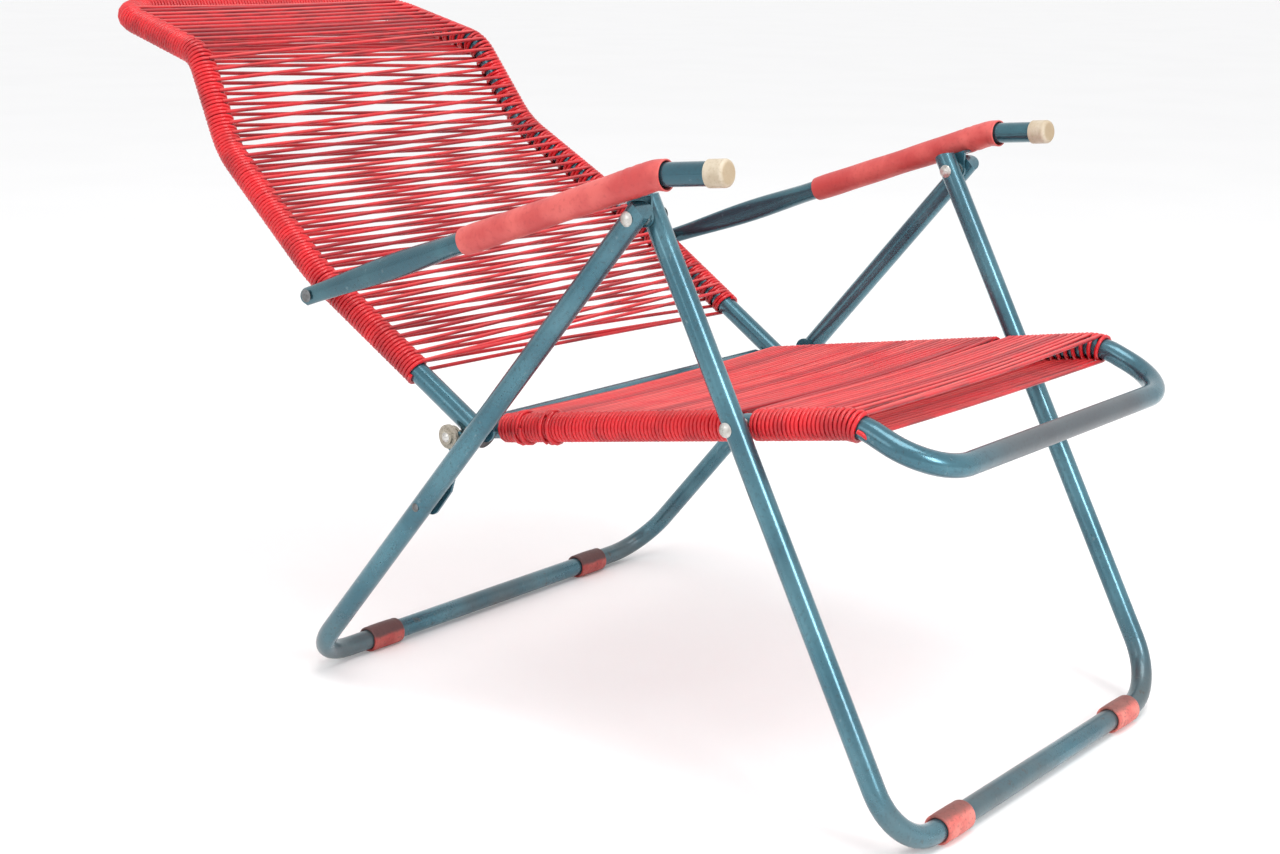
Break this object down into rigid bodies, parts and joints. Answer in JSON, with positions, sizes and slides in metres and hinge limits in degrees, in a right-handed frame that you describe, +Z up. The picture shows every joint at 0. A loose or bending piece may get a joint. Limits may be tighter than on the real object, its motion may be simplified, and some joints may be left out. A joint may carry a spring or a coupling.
{
  "type": "folding deck chair",
  "caption": "Folding deck chair: bent steel tube frames, riveted pivots, arms with PVC sleeves, seat and back strung with wound PVC cord.",
  "frame": {"origin": "On the floor, under the middle of the bounding box.", "axes": "+Z is up, the sitter faces -Y, +X is the sitter's left."},
  "size_m": [0.6284, 1.1754, 0.719],
  "materials": {
    "tube_lacquer": "teal metallic lacquer over steel tube, worn on edges and floor rails",
    "rivet_steel": "plain steel rivets, slightly tarnished",
    "pvc_cord": "bright red extruded PVC cord",
    "arm_pvc": "faded red PVC sleeve",
    "clip_pvc": "faded brick red PVC foot sleeve",
    "cap_pvc": "yellowed cream plastic",
    "plug_black": "black plastic plug",
    "plate_dark": "dark enamelled sheet steel",
    "bush_grey": "grey beige moulded bush"
  },
  "bodies": {
    "front_legs": {"front_leg_frame": "tube_lacquer", "front_foot_clip_left": "clip_pvc", "front_foot_clip_right": "clip_pvc", "apex_rivets": "rivet_steel", "apex_washers": "rivet_steel", "seat_rivets": "rivet_steel", "seat_spacers": "rivet_steel"},
    "rear_legs": {"rear_leg_frame": "tube_lacquer", "rear_foot_clip_left": "clip_pvc", "rear_foot_clip_right": "clip_pvc", "latch_plate_left": "plate_dark", "latch_plate_right": "plate_dark", "latch_plate_rivets": "rivet_steel"},
    "arm_left": {"arm_tube_left": "tube_lacquer", "arm_sleeve_left": "arm_pvc", "arm_cap_left": "cap_pvc", "arm_bracket_left": "tube_lacquer"},
    "arm_right": {"arm_tube_right": "tube_lacquer", "arm_sleeve_right": "arm_pvc", "arm_cap_right": "cap_pvc", "arm_bracket_right": "tube_lacquer"},
    "back": {"back_frame": "tube_lacquer", "back_wrap_left": "pvc_cord", "back_wrap_right": "pvc_cord", "back_wrap_top": "pvc_cord", "back_web_front": "pvc_cord", "back_web_rear": "pvc_cord", "back_end_plugs": "plug_black", "back_pivot_pins": "rivet_steel", "arm_pins": "rivet_steel", "arm_spacers": "rivet_steel"},
    "seat": {"seat_frame": "tube_lacquer", "seat_cross_tube": "tube_lacquer", "latch_rod": "rivet_steel", "latch_bush_left": "bush_grey", "latch_bush_right": "bush_grey", "seat_wrap_rear_left": "pvc_cord", "seat_wrap_rear_right": "pvc_cord", "seat_wrap_front_left": "pvc_cord", "seat_wrap_front_right": "pvc_cord", "seat_web_top": "pvc_cord", "seat_web_under": "pvc_cord"}
  },
  "joints": [
    {"name": "rear_leg_fold", "type": "hinge", "parent": "front_legs", "child": "rear_legs", "pos_m": [0, -0.28225, 0.553], "axis": [1, 0, 0], "range_deg": [-60, 0]},
    {"name": "arm_left_fold", "type": "hinge", "parent": "front_legs", "child": "arm_left", "pos_m": [0, -0.28225, 0.553], "axis": [1, 0, 0], "range_deg": [-20.24, 0]},
    {"name": "arm_right_fold", "type": "hinge", "parent": "front_legs", "child": "arm_right", "pos_m": [0, -0.28225, 0.553], "axis": [1, 0, 0], "range_deg": [-20.24, 0]},
    {"name": "back_fold", "type": "hinge", "parent": "arm_left", "child": "back", "pos_m": [0, 0.13975, 0.4315], "axis": [1, 0, 0], "range_deg": [0, 21.86]},
    {"name": "seat_fold", "type": "hinge", "parent": "front_legs", "child": "seat", "pos_m": [0, -0.37725, 0.37], "axis": [1, 0, 0], "range_deg": [-28, 0]}
  ],
  "couplings": [
    {"joint": "arm_left_fold", "follows": "rear_leg_fold", "ratio": 0.33725},
    {"joint": "arm_right_fold", "follows": "rear_leg_fold", "ratio": 0.33725},
    {"joint": "back_fold", "follows": "rear_leg_fold", "ratio": -0.36428},
    {"joint": "seat_fold", "follows": "rear_leg_fold", "ratio": 0.46667}
  ]
}
